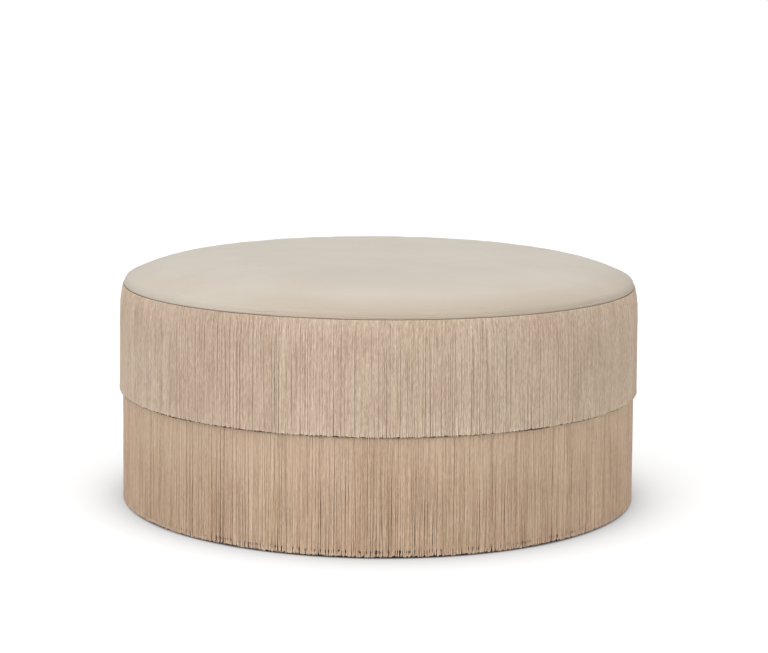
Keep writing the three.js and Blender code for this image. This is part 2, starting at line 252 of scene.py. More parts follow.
def glide():
    """A plug with a narrower sole, a counterbore from below and a bore for the screw."""
    sole_radius, top_radius, rim, sides = 0.021, 0.025, 0.002, 48
    recess_radius, recess_depth, bore_radius = 0.0065, 0.006, 0.0028
    edge_round, near = 0.0006, 0.0001
    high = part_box("glide_1")[1].z
    middle = (0, 0, high / 2)
    bpy.ops.object.select_all(action="DESELECT")
    bpy.ops.mesh.primitive_cylinder_add(vertices=sides, radius=top_radius, depth=high, location=middle)
    piece = bpy.context.object
    bpy.ops.object.transform_apply(location=True)
    bpy.ops.object.mode_set(mode="EDIT")
    bpy.ops.mesh.select_all(action="SELECT")
    bpy.ops.mesh.bisect(plane_co=(0, 0, high - rim), plane_no=(0, 0, 1))
    narrow = sole_radius / top_radius
    select_by(piece, "FACE", lambda face: face.center.z < near)
    bpy.ops.transform.resize(value=(narrow, narrow, 1))
    bpy.ops.mesh.inset(thickness=sole_radius - recess_radius)
    bpy.ops.mesh.extrude_region_move(TRANSFORM_OT_translate={"value": (0, 0, recess_depth)})
    bpy.ops.mesh.inset(thickness=recess_radius - bore_radius)
    bpy.ops.mesh.delete(type="FACE")
    select_by(piece, "FACE", lambda face: face.center.z > high - near)
    bpy.ops.mesh.inset(thickness=top_radius - bore_radius)
    bpy.ops.mesh.delete(type="FACE")
    select_by(piece, "EDGE", lambda edge: bore_edge(piece.data, edge, bore_radius, near))
    bpy.ops.mesh.bridge_edge_loops()
    bpy.ops.mesh.select_all(action="SELECT")
    bpy.ops.mesh.normals_make_consistent(inside=False)
    settle(piece, "glide")
    sharp = math.radians(40)
    applied(piece, "BEVEL", width=edge_round, segments=2, limit_method="ANGLE", angle_limit=sharp)
    return settle(piece, "glide")


def moulded_plastic_finish():
    """Black plastic with the fine grain of its mould."""
    grain_depth = 0.0001
    black, worn_black = seen_as(24, 24, 25), seen_as(40, 40, 41)
    finish, shader = new_finish("black_moulded_plastic", 0.45)
    spark = noise(finish, object_place(finish), 700, 3)
    colour_with(finish, shader, between(finish, spark, black, worn_black))
    raise_with(finish, shader, spark, grain_depth)
    return finish


def turn_to(station, radius):
    """The matrix that carries a piece from the axis out to a station of the carcass."""
    angle = math.radians(60) * (station - 1)
    return Matrix.Rotation(angle, 4, "Z") @ Matrix.Translation((radius, 0, 0))


first_glide = glide()
dress(first_glide, moulded_plastic_finish())
foot_circle = sum(corner.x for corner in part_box("glide_1")) / 2
for station in stations:
    foot = copied(first_glide, f"foot_{station}", turn_to(station, foot_circle))
    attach(foot, "root")
    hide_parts(f"glide_{station}")
bpy.data.objects.remove(first_glide)

# Plinth cover and dust cover: a brown plain-woven band round the plinth, turned in under the base
# board, and a black non-woven disc stapled over the turned-in edge. The band's deep brown is partly
# painted shade, for the dark seen between the lower cords.


def turned(name, outline, steps, closed=True):
    """Draws an outline of (radius, height) points, point by point, and spins it about the axis."""
    first_size, weld = 0.01, 0.00005
    bpy.ops.object.select_all(action="DESELECT")
    bpy.ops.mesh.primitive_plane_add(size=first_size)
    piece = bpy.context.object
    bpy.ops.object.mode_set(mode="EDIT")
    bpy.ops.mesh.select_mode(type="VERT")
    bpy.ops.mesh.select_all(action="SELECT")
    bpy.ops.mesh.merge(type="CENTER")
    bpy.ops.transform.translate(value=(outline[0][0], 0, outline[0][1]))
    route = [*outline, outline[0]] if closed else outline
    for (radius, height), (next_radius, next_height) in zip(route, route[1:]):
        move = (next_radius - radius, 0, next_height - height)
        bpy.ops.mesh.extrude_region_move(TRANSFORM_OT_translate={"value": move})
    bpy.ops.mesh.select_all(action="SELECT")
    bpy.ops.mesh.spin(steps=steps, angle=2 * math.pi, center=(0, 0, 0), axis=(0, 0, 1))
    bpy.ops.mesh.select_all(action="SELECT")
    bpy.ops.mesh.remove_doubles(threshold=weld)
    bpy.ops.mesh.normals_make_consistent(inside=False)
    return settle(piece, name)


def rounded(points, radius, steps=3):
    """The outline with each corner cut back by radius and rounded."""
    most = 0.45
    smooth = []
    for index, corner in enumerate(points):
        corner = np.array(corner)
        before = np.array(points[index - 1]) - corner
        after = np.array(points[(index + 1) % len(points)]) - corner
        cut = min(radius, np.linalg.norm(before) * most, np.linalg.norm(after) * most)
        start = corner + before / np.linalg.norm(before) * cut
        end = corner + after / np.linalg.norm(after) * cut
        for part in range(steps + 1):
            share = part / steps
            bend = (1 - share) ** 2 * start + 2 * share * (1 - share) * corner + share ** 2 * end
            smooth.append(tuple(bend))
    return smooth


def lipped_band(radius, low, high, thickness, lip):
    """The outline of a band of cloth round the axis, with its lower edge turned in by a lip."""
    return [
        (radius - lip, low),
        (radius, low),
        (radius, high),
        (radius - thickness, high),
        (radius - thickness, low + thickness),
        (radius - lip, low + thickness),
    ]


def weave_height(finish, threads_round, thread_pitch):
    """A plain weave that runs round the axis, as a height from 0 to 1."""
    place = step(finish, "ShaderNodeSeparateXYZ", {0: object_place(finish)})
    angle = sum_of(finish, "ARCTAN2", place.outputs[1], place.outputs[0])
    warp = sum_of(finish, "SINE", sum_of(finish, "MULTIPLY", angle, threads_round))
    weft = sum_of(finish, "SINE", sum_of(finish, "MULTIPLY", place.outputs[2], 2 * math.pi / thread_pitch))
    return spread_to(finish, sum_of(finish, "MULTIPLY", warp, weft), -1, 1)


def woven_finish(name, dark, light, thread_pitch, radius):
    """Plain-woven cloth wrapped round the drum, in two tones of one colour."""
    slub_share, weave_depth = 0.5, 0.0003
    finish, shader = new_finish(name, 0.9)
    shader.inputs["Sheen Weight"].default_value = 0.05
    threads_round = round(2 * math.pi * radius / thread_pitch)
    weave = weave_height(finish, threads_round, thread_pitch)
    slubs = noise(finish, object_place(finish, (1, 1, 3)), 60, 4)
    woven_tone = sum_of(finish, "MULTIPLY", weave, 1 - slub_share)
    tone = sum_of(finish, "MULTIPLY_ADD", slubs, slub_share, woven_tone)
    colour_with(finish, shader, between(finish, tone, dark, light))
    raise_with(finish, shader, weave, weave_depth)
    return finish


def nonwoven_finish():
    """Black spun cloth with rows of small pressed dots."""
    dot_pitch, dot_depth = 0.0016, 0.0002
    pressed_black, fibre_grey = seen_as(16, 16, 16), seen_as(44, 43, 42)
    finish, shader = new_finish("black_spun_cloth", 0.85)
    place = step(finish, "ShaderNodeSeparateXYZ", {0: object_place(finish)})
    rows = [
        sum_of(finish, "SINE", sum_of(finish, "MULTIPLY", place.outputs[axis], 2 * math.pi / dot_pitch))
        for axis in (0, 1)
    ]
    dots = spread_to(finish, sum_of(finish, "MULTIPLY", *rows), 0.3, 0.9, 1, 0)
    fibres = noise(finish, object_place(finish), 380, 5)
    tone = sum_of(finish, "MULTIPLY", dots, fibres)
    colour_with(finish, shader, between(finish, tone, pressed_black, fibre_grey))
    raise_with(finish, shader, tone, dot_depth)
    return finish


round_steps = 192
plinth_low, plinth_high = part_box("plinth_cover")
plinth_radius = plinth_high.x
plinth_thickness, plinth_lip, plinth_round, plinth_pitch = 0.001, 0.008, 0.0008, 0.0011
plinth_outline = lipped_band(plinth_radius, plinth_low.z, plinth_high.z, plinth_thickness, plinth_lip)
plinth_cloth = turned("plinth_cloth", rounded(plinth_outline, plinth_round), round_steps)
# Painted shade: the band's deep brown partly stands for the shade under the drum's edge.
dark_brown_and_painted_shade, light_brown_and_painted_shade = seen_as(72, 48, 30), seen_as(108, 78, 54)
brown_weave = woven_finish("brown_plain_weave", dark_brown_and_painted_shade, light_brown_and_painted_shade, plinth_pitch, plinth_radius)
dress(plinth_cloth, brown_weave)
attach(plinth_cloth, "root")
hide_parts("plinth_cover")

dust_low, dust_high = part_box("dust_cover")
dust_radius = dust_high.x
dust_outline = [(0.0, dust_low.z), (dust_radius, dust_low.z), (dust_radius, dust_high.z), (0.0, dust_high.z)]
dust_cloth = turned("dust_cloth", dust_outline, round_steps, closed=False)
dress(dust_cloth, nonwoven_finish())
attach(dust_cloth, "root")
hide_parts("dust_cover")

# Side padding: a 5.5 mm sheet of cream upholstery foam, glued round the skins from the drum's lower
# edge to the turned-down edge of the seat cover.


def foam_finish(name, light, dark):
    """Open-cell foam: pale, with a fine pore."""
    pore_depth = 0.0005
    finish, shader = new_finish(name, 0.95)
    cells = {"Vector": object_place(finish), "Scale": 700}
    pores = step(finish, "ShaderNodeTexVoronoi", cells).outputs["Distance"]
    open_cell = spread_to(finish, pores, 0, 0.6)
    colour_with(finish, shader, between(finish, open_cell, dark, light))
    raise_with(finish, shader, open_cell, pore_depth)
    return finish


def plain_band(inner, outer, low, high):
    """The outline of a plain band round the axis."""
    return [(inner, low), (outer, low), (outer, high), (inner, high)]


cream_foam = foam_finish("cream_foam", light=seen_as(233, 223, 178), dark=seen_as(190, 176, 126))
wrap_low, wrap_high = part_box("side_padding")
wrap_thickness, wrap_round = 0.0055, 0.001
wrap_outline = plain_band(wrap_high.x - wrap_thickness, wrap_high.x, wrap_low.z, wrap_high.z)
side_wrap = turned("side_foam_wrap", rounded(wrap_outline, wrap_round), round_steps)
dress(side_wrap, cream_foam)
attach(side_wrap, "root")
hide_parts("side_padding")

# Side cover: a band of beige plain-woven cloth stretched over the padding, which shows only between
# the cords, and is turned in under the drum and stapled to its floor.

side_low, side_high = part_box("side_cover")
side_thickness, side_lip, side_round, side_pitch = 0.0012, 0.010, 0.001, 0.0013
side_outline = lipped_band(side_high.x, side_low.z, side_high.z, side_thickness, side_lip)
side_cloth = turned("side_cloth", rounded(side_outline, side_round), round_steps)
dark_beige, light_beige = seen_as(206, 178, 150), seen_as(236, 210, 184)
beige_weave = woven_finish("beige_plain_weave", dark_beige, light_beige, side_pitch, side_high.x)
dress(side_cloth, beige_weave)
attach(side_cloth, "root")
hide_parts("side_cover")

# Lower fringe: a woven header tape tacked to the hoop, with some 1,450 twisted cords in front and a
# row of fuller ones behind the gaps. They hang free and end in a cut, frayed hem just off the floor.


def modelled_cord(name, sides, drops):
    """One cord a metre long and a metre thick, standing on its hem end, with a ring at each drop."""
    bpy.ops.object.select_all(action="DESELECT")
    bpy.ops.mesh.primitive_cylinder_add(vertices=sides, radius=0.5, depth=1, location=(0, 0, 0.5))
    cord = bpy.context.object
    bpy.ops.object.transform_apply(location=True)
    bpy.ops.object.mode_set(mode="EDIT")
    for drop in drops[1:-1]:
        bpy.ops.mesh.select_all(action="SELECT")
        bpy.ops.mesh.bisect(plane_co=(0, 0, 1 - drop / drops[-1]), plane_no=(0, 0, 1))
    return settle(cord, name)


def wander(rng, count, reach):
    """A random value for each cord from -1 to 1 or so, that changes slowly over reach cords."""
    spread, fewest = 0.5, 4
    knots = max(fewest, round(count / reach))
    values = rng.normal(0, spread, knots)
    places = np.arange(count) * knots / count
    first = np.floor(places).astype(int)
    share = places - first
    ease = share * share * (3 - 2 * share)
    return (values[first % knots] * (1 - ease) + values[(first + 1) % knots] * ease)[:, None]


def straying(rng, count, drops, rate):
    """How far each cord has strayed from its line at each ring, by small random steps down it."""
    furthest = 2.2
    spans = np.diff(drops, prepend=drops[0])
    steps = rng.normal(0, 1, (count, len(drops))).clip(-furthest, furthest) * np.sqrt(rate * spans)
    return np.cumsum(steps, axis=1)


def changing(rng, count, drops, reach):
    """A random value at each ring of each cord, mostly from -1 to 1, that changes slowly down it."""
    value = rng.normal(0, 1, count)
    values = [value]
    for span in np.diff(drops):
        kept = math.exp(-span / reach)
        value = value * kept + rng.normal(0, 1, count) * math.sqrt(1 - kept * kept)
        values.append(value)
    return np.stack(values, axis=1)


def girths(rng, rows, drop, above):
    """How thick each cord is at each ring: a bead at its head, a pinch above the hem, a frayed end."""
    own_spread, cut_length, tip_share, head_share = 0.05, 0.0004, 0.75, 0.6
    bead_swell, bead_drop, bead_length = 0.06, 0.0014, 0.001
    pinched_share, least_pinch, pinch_above, pinch_length = 0.3, 0.6, 0.0082, 0.0026
    fray_length = 0.003
    one = (rows["count"], 1)
    each = rows["thick"] * (1 + own_spread * rng.normal(0, 1, one).clip(-2, 2))
    bead = bead_swell * np.exp(-(((drop - bead_drop) / bead_length) ** 2))
    pinched = (rng.uniform(0, 1, one) < pinched_share) * rng.uniform(least_pinch, 1, one)
    pinch = rows["pinch"] * pinched * np.exp(-(((above - pinch_above) / pinch_length) ** 2))
    fray = rows["fray"] * np.exp(-above / fray_length)
    cut = np.where(above < cut_length, tip_share, 1) * np.where(drop < cut_length, head_share, 1)
    return each * (1 + bead - pinch + fray) * cut


def reaches(rng, rows, drop, long, drops):
    """How far out each cord hangs at each ring, over the shoulder's swell and down to the hem."""
    own_reach, shared_uneven, shared_reach = 0.03, 0.0003, 18
    most_uneven, held_length = 0.0009, 0.02
    shoulder = (drop / rows["shoulder"]).clip(0, 1)
    full = rows["full_radius"] + (rows["hem_radius"] - rows["full_radius"]) * (drop / long)
    surface = rows["head_radius"] + (full - rows["head_radius"]) * (1 - (1 - shoulder) ** 2)
    uneven = rows["uneven"] * changing(rng, rows["count"], drops, own_reach)
    uneven = uneven + shared_uneven * wander(rng, rows["count"], shared_reach)
    free = (drop / held_length).clip(0, 1)
    return surface + free * uneven.clip(-most_uneven, most_uneven) - rows["behind"]


def openings(rows, drops):
    """How wide each gap between two neighbours stands open at each ring. Most are closed."""
    narrowest, usual, varying, change_reach = 0.3, 0.6, 0.5, 0.06
    rng = np.random.default_rng(rows["gap_seed"])
    opened = rng.uniform(0, 1, rows["count"]) < rows["open_share"]
    widths = (opened * rng.uniform(narrowest, 1, rows["count"]) * rows["open_width"])[:, None]
    return widths * (usual + varying * changing(rng, rows["count"], drops, change_reach)).clip(0.1, 1.5)


def drifts(rng, rows, drop, long, drops):
    """How far to the side of its place each cord hangs at each ring."""
    slack_share, slack_length, parting_length = 0.2, 0.1, 0.012
    closed_above, closing_length = 0.0045, 0.003
    back_shift, crinkle_length, lean_reach = 0.0012, 0.03, 14
    gaps = openings(rows, drops)
    next_gaps = np.roll(gaps, -1, axis=0)
    slack = slack_share * (drop / slack_length).clip(0, 1)
    parted = (1 - slack_share) * ((drop - rows["open_from"]) / parting_length).clip(0, 1)
    apart = (slack + parted) * ((long - drop - closed_above) / closing_length).clip(0, 1)
    if rows["between"]:
        aside = back_shift * np.sign(next_gaps) * apart
    else:
        aside = (gaps - next_gaps) / 2 * apart
    rate = rows["stray"] + rows["crinkle"] * np.exp(-drops / crinkle_length)
    lean = rows["lean"] * wander(rng, rows["count"], lean_reach) * (drop / long)
    return aside + lean + straying(rng, rows["count"], drops, rate)


def bundle_mesh(name, cord, places, spin, tone, warmth):
    """One mesh of all the copies of a cord, with its winding as UV and its tones as attributes."""
    mesh = cord.data
    count, size = places.shape[:2]
    shift = (np.arange(count) * size)[:, None]
    face_corners = np.array([corner.vertex_index for corner in mesh.loops])
    face_sizes = np.array([face.loop_total for face in mesh.polygons])
    face_starts = np.array([face.loop_start for face in mesh.polygons])
    bundle = bpy.data.meshes.new(name)
    bundle.vertices.add(count * size)
    bundle.loops.add(count * len(face_corners))
    bundle.polygons.add(count * len(face_sizes))
    bundle.vertices.foreach_set("co", places.ravel())
    bundle.loops.foreach_set("vertex_index", (face_corners + shift).ravel())
    loop_shift = (np.arange(count) * len(face_corners))[:, None]
    bundle.polygons.foreach_set("loop_start", (face_starts + loop_shift).ravel())
    bundle.polygons.foreach_set("loop_total", np.tile(face_sizes, count))
    bundle.update(calc_edges=True)
    bundle.polygons.foreach_set("use_smooth", np.ones(count * len(face_sizes), bool))
    around = np.array([corner.uv[0] for corner in mesh.uv_layers[0].data]) + spin
    along = places[:, face_corners, 2]
    winding = bundle.uv_layers.new(name="cord")
    winding.data.foreach_set("uv", np.stack([around, along], axis=2).ravel())
    for label, values in (("tone", tone), ("warmth", warmth)):
        held = bundle.attributes.new(label, "FLOAT", "POINT")
        held.data.foreach_set("value", values.ravel().astype(np.float32))
    bundle.validate()
    piece = bpy.data.objects.new(name, bundle)
    bpy.context.scene.collection.objects.link(piece)
    return piece


def laid_round(points, ring, girth, radius, angle, spin, height):
    """Every point of every copy, which turns by its own winding and goes out to its place."""
    turn = 2 * math.pi * spin
    side, front = points[:, 0], points[:, 1]
    shift = (side * np.cos(turn) - front * np.sin(turn)) * girth[:, ring]
    reach = (side * np.sin(turn) + front * np.cos(turn)) * girth[:, ring] + radius[:, ring]
    along, across = np.cos(angle[:, ring]), np.sin(angle[:, ring])
    x = reach * along - shift * across
    y = reach * across + shift * along
    return np.stack([x, y, height[:, ring]], axis=2)


def cord_tones(rng, rows, drops, above):
    """How pale each cord is at each ring, about 0, with its own change near the hem. Rows behind are
    darkened as painted shade, and so are the ends where a row asks for it.
    """
    shared, shared_reach, end_length = 0.5, 36, 0.002
    tone = rows["own_tone"] * rng.normal(0, 1, (rows["count"], 1)).clip(-2, 2)
    tone = tone + rows["tone_change"] * changing(rng, rows["count"], drops, rows["tone_reach"])
    tone = tone + shared * wander(rng, rows["count"], shared_reach)
    # Painted shade: the rows behind are darkened, and the ends by the row's painted end shade.
    return tone - rows["painted_end_shade"] * np.exp(-above / end_length) - rows["painted_back_shade"]


def hang(name, cord, drops, rows, seed):
    """Copies the cord round a tier into one mesh, each copy with its own line, winding and tone."""
    hem_wave, hem_reach, kick_length, warmth_reach = 0.0006, 12, 0.004, 32
    kicked_in, kicked_out = -0.3, 0.8
    rng = np.random.default_rng(seed)
    count = rows["count"]
    one = (count, 1)
    points = np.array([vertex.co for vertex in cord.data.vertices])
    drops = np.array(drops) / 1000
    ring = np.abs((1 - points[:, 2])[:, None] - drops / drops[-1]).argmin(axis=1)
    hem = rows["hem"] + rows["ragged"] * rng.uniform(-1, 1, one) + hem_wave * wander(rng, count, hem_reach)
    long = rows["top"] - hem
    above = long * (1 - drops / drops[-1])
    drop = long - above
    girth = girths(rng, rows, drop, above)
    kick = rows["kick"] * np.exp(-above / kick_length)
    radius = reaches(rng, rows, drop, long, drops) - girth / 2
    radius = radius + kick * rng.uniform(kicked_in, kicked_out, one)
    shuffled = rng.uniform(-rows["shuffle"], rows["shuffle"], one)
    place = np.arange(count)[:, None] + rows["between"] + shuffled
    aside = drifts(rng, rows, drop, long, drops) + kick * rng.uniform(-1, 1, one)
    angle = 2 * math.pi / count * place + aside / radius
    spin = rng.uniform(0, 1, one)
    places = laid_round(points, ring, girth, radius, angle, spin, hem + above)
    tone = cord_tones(rng, rows, drops, above)
    warmth = np.repeat(wander(rng, count, warmth_reach), len(points), axis=1)
    return bundle_mesh(name, cord, places, spin, tone[:, ring], warmth)


def cord_finish(name, look):
    """Matt two-ply twisted cord: each cord has its own tone, and a groove winds down it. Painted shade
    darkens the groove, the lowest tones and the cords behind, and painted light or shade changes with
    height.
    """
    twist_pitch, plies, groove_edge, painted_groove_shade, groove_depth = 0.0036, 2, 0.4, 0.16, 0.0003
    patchy, darkest, palest, least_warm, warmest = 0.6, -2.4, 2.4, -0.9, 0.9
    tint_share, all_shaded, unshaded = 0.4, -7, -3
    finish, shader = new_finish(name, 0.82)
    shader.inputs["Specular IOR Level"].default_value = look["glint"]
    uv = step(finish, "ShaderNodeUVMap", {}, uv_map="cord").outputs[0]
    place = step(finish, "ShaderNodeSeparateXYZ", {0: uv})
    along = sum_of(finish, "DIVIDE", place.outputs[1], twist_pitch)
    winding = sum_of(finish, "MULTIPLY", sum_of(finish, "ADD", place.outputs[0], along), 2 * math.pi * plies)
    groove = spread_to(finish, sum_of(finish, "SINE", winding), -1, groove_edge)
    tone = step(finish, "ShaderNodeAttribute", {}, attribute_name="tone").outputs["Fac"]
    warmth = step(finish, "ShaderNodeAttribute", {}, attribute_name="warmth").outputs["Fac"]
    patch = noise(finish, object_place(finish, (1, 1, 0.35)), 26, 3)
    patch = spread_to(finish, patch, 0.3, 0.7, -patchy, patchy)
    fuzz = noise(finish, object_place(finish, (1, 1, 0.2)), 480, 2)
    fuzz = spread_to(finish, fuzz, 0.35, 0.65, -look["fuzzy"], look["fuzzy"])
    # Painted light and shade by height on the tier.
    painted_height_light = spread_to(finish, place_along(finish, 2), *look["painted_light_by_height"])
    level = sum_of(finish, "ADD", tone, sum_of(finish, "ADD", patch, fuzz))
    level = sum_of(finish, "ADD", level, painted_height_light)
    shade = between(finish, spread_to(finish, level, darkest, palest), look["low"], look["high"])
    tint = between(finish, spread_to(finish, warmth, least_warm, warmest), look["yellower"], look["pinker"])
    tinted = between(finish, tint_share, shade, tint)
    # Painted shade: the lowest tones, on the cords behind and at their dark ends, blend into the shade
    # colour.
    painted_shade_share = spread_to(finish, level, all_shaded, unshaded, 1, 0)
    with_painted_shade = between(finish, painted_shade_share, tinted, look["painted_shade"])
    # Painted shade in the twist groove, where the plies meet.
    painted_groove = between(finish, painted_groove_shade, with_painted_shade, look["painted_shade"])
    colour_with(finish, shader, between(finish, groove, painted_groove, with_painted_shade))
    raise_with(finish, shader, groove, groove_depth)
    return finish


def header(name, node, finish):
    """The woven tape at the top of a tier, which its cords hang from, with rounded edges."""
    header_height, header_inner, header_outer, edge_round = 0.006, 0.4873, 0.4879, 0.0003
    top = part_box(node)[1].z
    outline = plain_band(header_inner, header_outer, top - header_height, top)
    tape = turned(name, rounded(outline, edge_round, steps=2), round_steps)
    dress(tape, finish)
    return tape


# The lower tier's cords are coloured darker and warmer than the upper's, as painted shade.
warm_painted_shade_look = {
    "low": seen_as(188, 158, 130),
    "high": seen_as(250, 226, 200),
    "yellower": seen_as(217, 187, 156),
    "pinker": seen_as(219, 184, 159),
    # The colour of painted shade, for the groove, the cords behind and the dark ends.
    "painted_shade": seen_as(92, 66, 46),
    "fuzzy": 1.2,
    # Painted light: the lower tier is painted paler towards its top, where the upper hem shades it, and a
    # little darker at the bottom.
    "painted_light_by_height": (0.1, 0.215, -0.1, 1.6),
    "glint": 0.3,
}
warm_painted_shade_cord = cord_finish("warm_twisted_cord_painted_shade", warm_painted_shade_look)
header_pitch, header_radius = 0.0012, 0.49
dark_tape, light_tape = seen_as(150, 124, 100), seen_as(190, 164, 138)
tape_finish = woven_finish("header_tape", dark_tape, light_tape, header_pitch, header_radius)

# Each cord has a ring at each of these drops, in millimetres, stretched to the cord's own length.
lower_drops = (0, 25, 60, 100, 138, 150, 180, 210, 228, 231.5, 234.5, 239, 240)
back_drops = (0, 12, 45, 90, 135, 175, 196, 202, 205)
lower_cord = modelled_cord("lower_cord", sides=5, drops=lower_drops)
back_cord = modelled_cord("back_cord", sides=4, drops=back_drops)

# How a row of cords hangs and looks, in metres, in shares from 0 to 1 and in steps of tone.
lower_rows = {
    "count": 1450,
    "top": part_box("lower_fringe")[1].z,
    "hem": 0.0038,
    "ragged": 0.0014,
    "thick": 0.00244,
    "fray": 0.3,
    "pinch": 0.85,
    "head_radius": 0.4905,
    "full_radius": 0.4931,
    "hem_radius": 0.4957,
    "shoulder": 0.03,
    "uneven": 0.0002,
    "crinkle": 0.0,
    "stray": 0.0000016,
    "kick": 0.0012,
    "behind": 0.0,
    "between": 0.0,
    "shuffle": 0.09,
    "lean": 0.0012,
    "gap_seed": 5,
    "open_share": 0.3,
    "open_width": 0.0012,
    "open_from": 0.138,
    "own_tone": 0.6,
    "tone_change": 0.7,
    "tone_reach": 0.05,
    # A negative painted end shade makes the cut tips a step paler, partly for their fraying and partly as
    # painted highlight.
    "painted_end_shade": -1.0,
    "painted_back_shade": 0.0,
}
lower_back_rows = {
    **lower_rows,
    "thick": 0.0029,
    # Painted shade: the cords behind are painted darker and browner.
    "painted_back_shade": 2.0,
    "hem": 0.0142,
    "ragged": 0.0008,
    "pinch": 0.0,
    "behind": 0.0012,
    "between": 0.5,
    "stray": 0.0000003,
    "shuffle": 0.05,
    "painted_end_shade": 0.0,
}
lower_front = hang("lower_fringe_cords", lower_cord, lower_drops, lower_rows, seed=11)
lower_back = hang("lower_fringe_back_cords", back_cord, back_drops, lower_back_rows, seed=12)
lower_header = header("lower_fringe_header", "lower_fringe", tape_finish)
for piece in (lower_front, lower_back):
    dress(piece, warm_painted_shade_cord)
for piece in (lower_front, lower_back, lower_header):
    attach(piece, "root")
    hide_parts("lower_fringe")

# Upper fringe: the same cords on a header right under the seam, crinkled where they leave the tape
# and swelling out over the lower tier, with a hem cut level 200 mm below the seam.

light_look = {
    **warm_painted_shade_look,
    "low": seen_as(188, 164, 142),
    "high": seen_as(254, 240, 218),
    "yellower": seen_as(225, 200, 173),
    "pinker": seen_as(226, 197, 176),
    "fuzzy": 1.4,
    # Painted shade: the upper tier is painted darker, most towards its top under the seat's roll.
    "painted_light_by_height": (0.3, 0.42, -0.15, -0.5),
    "glint": 0.1,
}
light_cord = cord_finish("light_twisted_cord", light_look)
upper_drops = (0, 1.4, 7, 16, 32, 60, 98, 144, 190, 197.2, 198)
upper_cord = modelled_cord("upper_cord", sides=6, drops=upper_drops)
above_header = 0.0022
upper_rows = {
    **lower_rows,
    "thick": 0.0025,
    "uneven": 0.0001,
    "top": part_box("upper_fringe")[1].z + above_header,
    "hem": 0.2143,
    "ragged": 0.0011,
    "pinch": 0.0,
    "head_radius": 0.4916,
    "full_radius": 0.4972,
    "hem_radius": 0.4996,
    "shoulder": 0.048,
    "crinkle": 0.000005,
    "stray": 0.0000006,
    "shuffle": 0.03,
    "lean": 0.0016,
    "gap_seed": 6,
    "open_share": 0.04,
    "open_width": 0.0005,
    "open_from": 0.03,
    "own_tone": 0.3,
    "tone_change": 0.6,
    "tone_reach": 0.01,
}
upper_back_rows = {
    **upper_rows,
    "thick": 0.0029,
    "hem": 0.2132,
    "ragged": 0.0006,
    "behind": 0.0012,
    "between": 0.5,
    "crinkle": 0.000001,
    "stray": 0.0000003,
    "shuffle": 0.05,
    # Painted shade: the back cords' ends are painted fully dark, for the thin dark line under the upper hem.
    "painted_end_shade": 8.0,
    # Painted shade: the cords behind are painted a step darker.
    "painted_back_shade": 1.0,
}
upper_front = hang("upper_fringe_cords", upper_cord, upper_drops, upper_rows, seed=21)
upper_back = hang("upper_fringe_back_cords", back_cord, back_drops, upper_back_rows, seed=22)
upper_header = header("upper_fringe_header", "upper_fringe", tape_finish)
for piece in (upper_front, upper_back):
    dress(piece, light_cord)
for piece in (upper_front, upper_back, upper_header):
    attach(piece, "root")
    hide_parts("upper_fringe")
for pattern in (lower_cord, back_cord, upper_cord):
    bpy.data.objects.remove(pattern)

# Seam tape: a narrow dark brown woven tape, glued into the groove between the upper header and the
# velvet, where it covers the staples of both. Its dark brown is partly painted shade, for the dark line
# of the seam.

tape_low, tape_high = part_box("seam_tape")
tape_thickness, tape_round, tape_pitch = 0.0014, 0.0004, 0.0009
tape_outline = plain_band(tape_high.x - tape_thickness, tape_high.x, tape_low.z, tape_high.z)
seam_tape = turned("seam_groove_tape", rounded(tape_outline, tape_round, steps=2), round_steps)
# Painted shade: the tape's dark brown partly stands for the shade in the seam's groove.
dark_seam_and_painted_shade, light_seam_and_painted_shade = seen_as(56, 42, 31), seen_as(88, 69, 53)
dress(seam_tape, woven_finish("dark_seam_tape_and_painted_shade", dark_seam_and_painted_shade, light_seam_and_painted_shade, tape_pitch, tape_high.x))
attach(seam_tape, "root")
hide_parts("seam_tape")

# Seat foam and wadding: a slab of cream foam with a crowned top on the deck, and a layer of white
# polyester fibre over it that softens the roll at the edge.

tape_gap = 0.0003
seam_height = tape_high.z + tape_gap
seat_edge, seat_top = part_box("top_cover")[1].x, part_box("top_cover")[1].z
roll_width, roll_height = 0.009, 0.015


def crown_height(radius, inset):
    """How high the seat stands at a radius, on a layer that lies so far inside the velvet's face."""
    flatness = 6
    shoulder = seat_edge - inset - roll_width
    roll_top = seam_height + roll_height - inset
    if radius <= shoulder:
        return roll_top + (seat_top - inset - roll_top) * (1 - (radius / shoulder) ** flatness)
    out = min((radius - shoulder) / roll_width, 1)
    return seam_height + (roll_top - seam_height) * math.sqrt(1 - out * out)


def crown(inset, inner=0.0, rings=14, roll_rings=4):
    """A layer's half outline, from the axis or a radius out to the seam: a flat dome, then a roll."""
    crowding = 1.6
    shoulder = seat_edge - inset - roll_width
    shares = [1 - (1 - ring / rings) ** crowding for ring in range(rings)]
    turns = [math.pi / 2 * (1 - part / roll_rings) for part in range(roll_rings + 1)]
    radii = [inner + (shoulder - inner) * share for share in shares]
    radii += [shoulder + roll_width * math.cos(turn) for turn in turns]
    return [(radius, crown_height(radius, inset)) for radius in radii]


def fibre_finish():
    """White polyester fibre with a lofted, tangled surface."""
    tangle_depth = 0.0012
    grey_white, bright_white = seen_as(222, 220, 214), seen_as(248, 247, 243)
    finish, shader = new_finish("white_fibre", 0.95)
    tangle = noise(finish, object_place(finish, (1, 1, 3)), 240, 8)
    colour_with(finish, shader, between(finish, tangle, grey_white, bright_white))
    raise_with(finish, shader, tangle, tangle_depth)
    return finish


